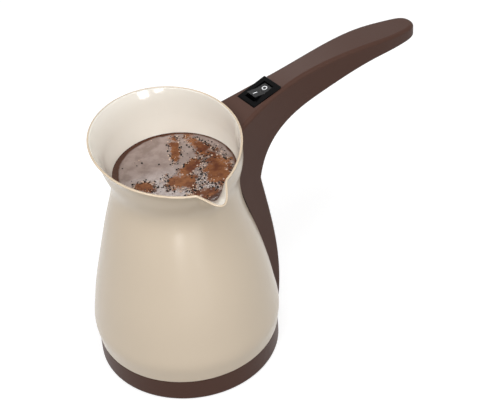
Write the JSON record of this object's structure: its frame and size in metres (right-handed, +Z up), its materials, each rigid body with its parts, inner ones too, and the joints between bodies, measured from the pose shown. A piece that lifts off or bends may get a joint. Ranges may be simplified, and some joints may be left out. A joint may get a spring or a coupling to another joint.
{
  "type": "electric turkish coffee maker",
  "caption": "Electric coffee pot with a waisted cream body, pouring spout, brown base ring and a long curved handle with a rocker switch.",
  "frame": {"origin": "point of the table under the pot's axis, between the rubber feet", "axes": "+Z up, +X along the handle away from the pot, -Y towards the spout"},
  "size_m": [0.2272, 0.1076, 0.153],
  "materials": {
    "cream_plastic": "glossy cream moulding",
    "brown_plastic": "satin brown moulding",
    "black_plastic": "satin black",
    "rocker_plastic": "glossy black",
    "stainless": "brushed stainless steel",
    "aluminium": "cast, matt",
    "element_sheath": "heat-tinted sheath",
    "zinc_steel": "zinc plated",
    "brass": "bright brass",
    "silicone": "translucent white silicone",
    "rubber": "matt black",
    "ceramic": "white ceramic body",
    "wire_brown": "brown insulation",
    "wire_black": "black insulation",
    "wire_blue": "blue insulation",
    "wire_green": "green and yellow insulation"
  },
  "bodies": {
    "pot": {"base_ring": "brown_plastic", "base_screws": "zinc_steel", "bottom_cover": "brown_plastic", "clamp_ring": "zinc_steel", "clamp_screws": "zinc_steel", "connector_housing": "black_plastic", "connector_screws": "zinc_steel", "cover_screws": "zinc_steel", "diffuser_plate": "aluminium", "earth_pin": "brass", "earth_wire": "wire_green", "element_terminals": "zinc_steel", "fuse_clip": "zinc_steel", "handle_cover": "brown_plastic", "handle_screws": "zinc_steel", "handle_shell": "brown_plastic", "heater_plate": "stainless", "heating_element": "element_sheath", "line_ring": "brass", "line_wire": "wire_brown", "neutral_ring": "brass", "neutral_wires": "wire_blue", "plate_seal": "silicone", "pot_body": "cream_plastic", "rocker_pivot": "zinc_steel", "rubber_feet": "rubber", "switch_housing": "black_plastic", "switch_terminals": "brass", "switched_wire": "wire_black", "thermal_fuse": "zinc_steel", "thermostat": "ceramic"},
    "rocker": {"rocker": "rocker_plastic", "plunger": "brass", "plunger_spring": "zinc_steel"},
    "lever": {"contact_lever": "brass"}
  },
  "joints": [
    {"name": "rocker_hinge", "type": "hinge", "parent": "pot", "child": "rocker", "pos_m": [0.06249, 0, 0.14503], "axis": [0, -1, 0], "range_deg": [0, 24]},
    {"name": "lever_hinge", "type": "hinge", "parent": "pot", "child": "lever", "pos_m": [0.06417, 0, 0.13819], "axis": [0, 1, 0], "range_deg": [0, 16]}
  ],
  "couplings": [
    {"joint": "lever_hinge", "follows": "rocker_hinge", "ratio": 0.66667}
  ]
}
